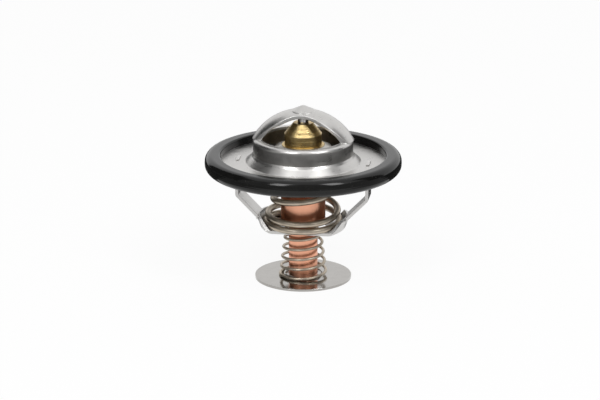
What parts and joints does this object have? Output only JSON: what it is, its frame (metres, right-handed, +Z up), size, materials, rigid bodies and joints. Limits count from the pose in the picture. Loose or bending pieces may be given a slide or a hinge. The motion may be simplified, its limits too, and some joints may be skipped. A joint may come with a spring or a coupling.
{
  "type": "engine thermostat",
  "caption": "Wax-element engine thermostat: a pressed frame in a rubber-edged flange, a spring-loaded main valve and a spring-loaded bypass disc under a copper capsule",
  "frame": {"origin": "centre of the bypass disc underside, on which the thermostat stands", "axes": "+Z runs up the element to the bridge, +X runs along the bridge and the two legs of the lower frame, +Y is the remaining horizontal axis"},
  "size_m": [0.067, 0.067, 0.061],
  "materials": {
    "frame_steel": "drawn, satin",
    "rubber": "moulded, faint sheen",
    "strap_steel": "rolled, satin",
    "polished_steel": "ground and polished",
    "spring_steel": "drawn wire, dull",
    "brass": "turned",
    "copper": "drawn copper, bright",
    "collar_steel": "turned",
    "valve_steel": "pressed",
    "inner_rubber": "moulded",
    "slippery_plastic": "white, waxy",
    "wax": "copper-filled wax",
    "disc_steel": "bright rolled"
  },
  "bodies": {
    "frame": {"upper_frame": "frame_steel", "flange_gasket": "rubber", "lower_frame": "strap_steel", "piston": "polished_steel", "main_spring": "spring_steel"},
    "element": {"brass_guide": "brass", "copper_capsule": "copper", "valve_collar": "collar_steel", "main_valve": "valve_steel", "rubber_boot": "inner_rubber", "backup_ring": "slippery_plastic", "piston_seal": "inner_rubber", "wax_charge": "wax", "bypass_clip": "strap_steel", "bypass_spring": "spring_steel"},
    "bypass": {"bypass_disc": "disc_steel"}
  },
  "joints": [
    {"name": "main_valve_slide", "type": "slide", "parent": "frame", "child": "element", "axis": [0, 0, -1], "range_m": [0, 0.008], "stiffness_N_per_m": 4000, "springref_m": -0.012, "deforming": ["main_spring"]},
    {"name": "bypass_slide", "type": "slide", "parent": "element", "child": "bypass", "axis": [0, 0, 1], "range_m": [0, 0.004], "stiffness_N_per_m": 550, "springref_m": -0.012, "deforming": ["bypass_spring"]}
  ]
}
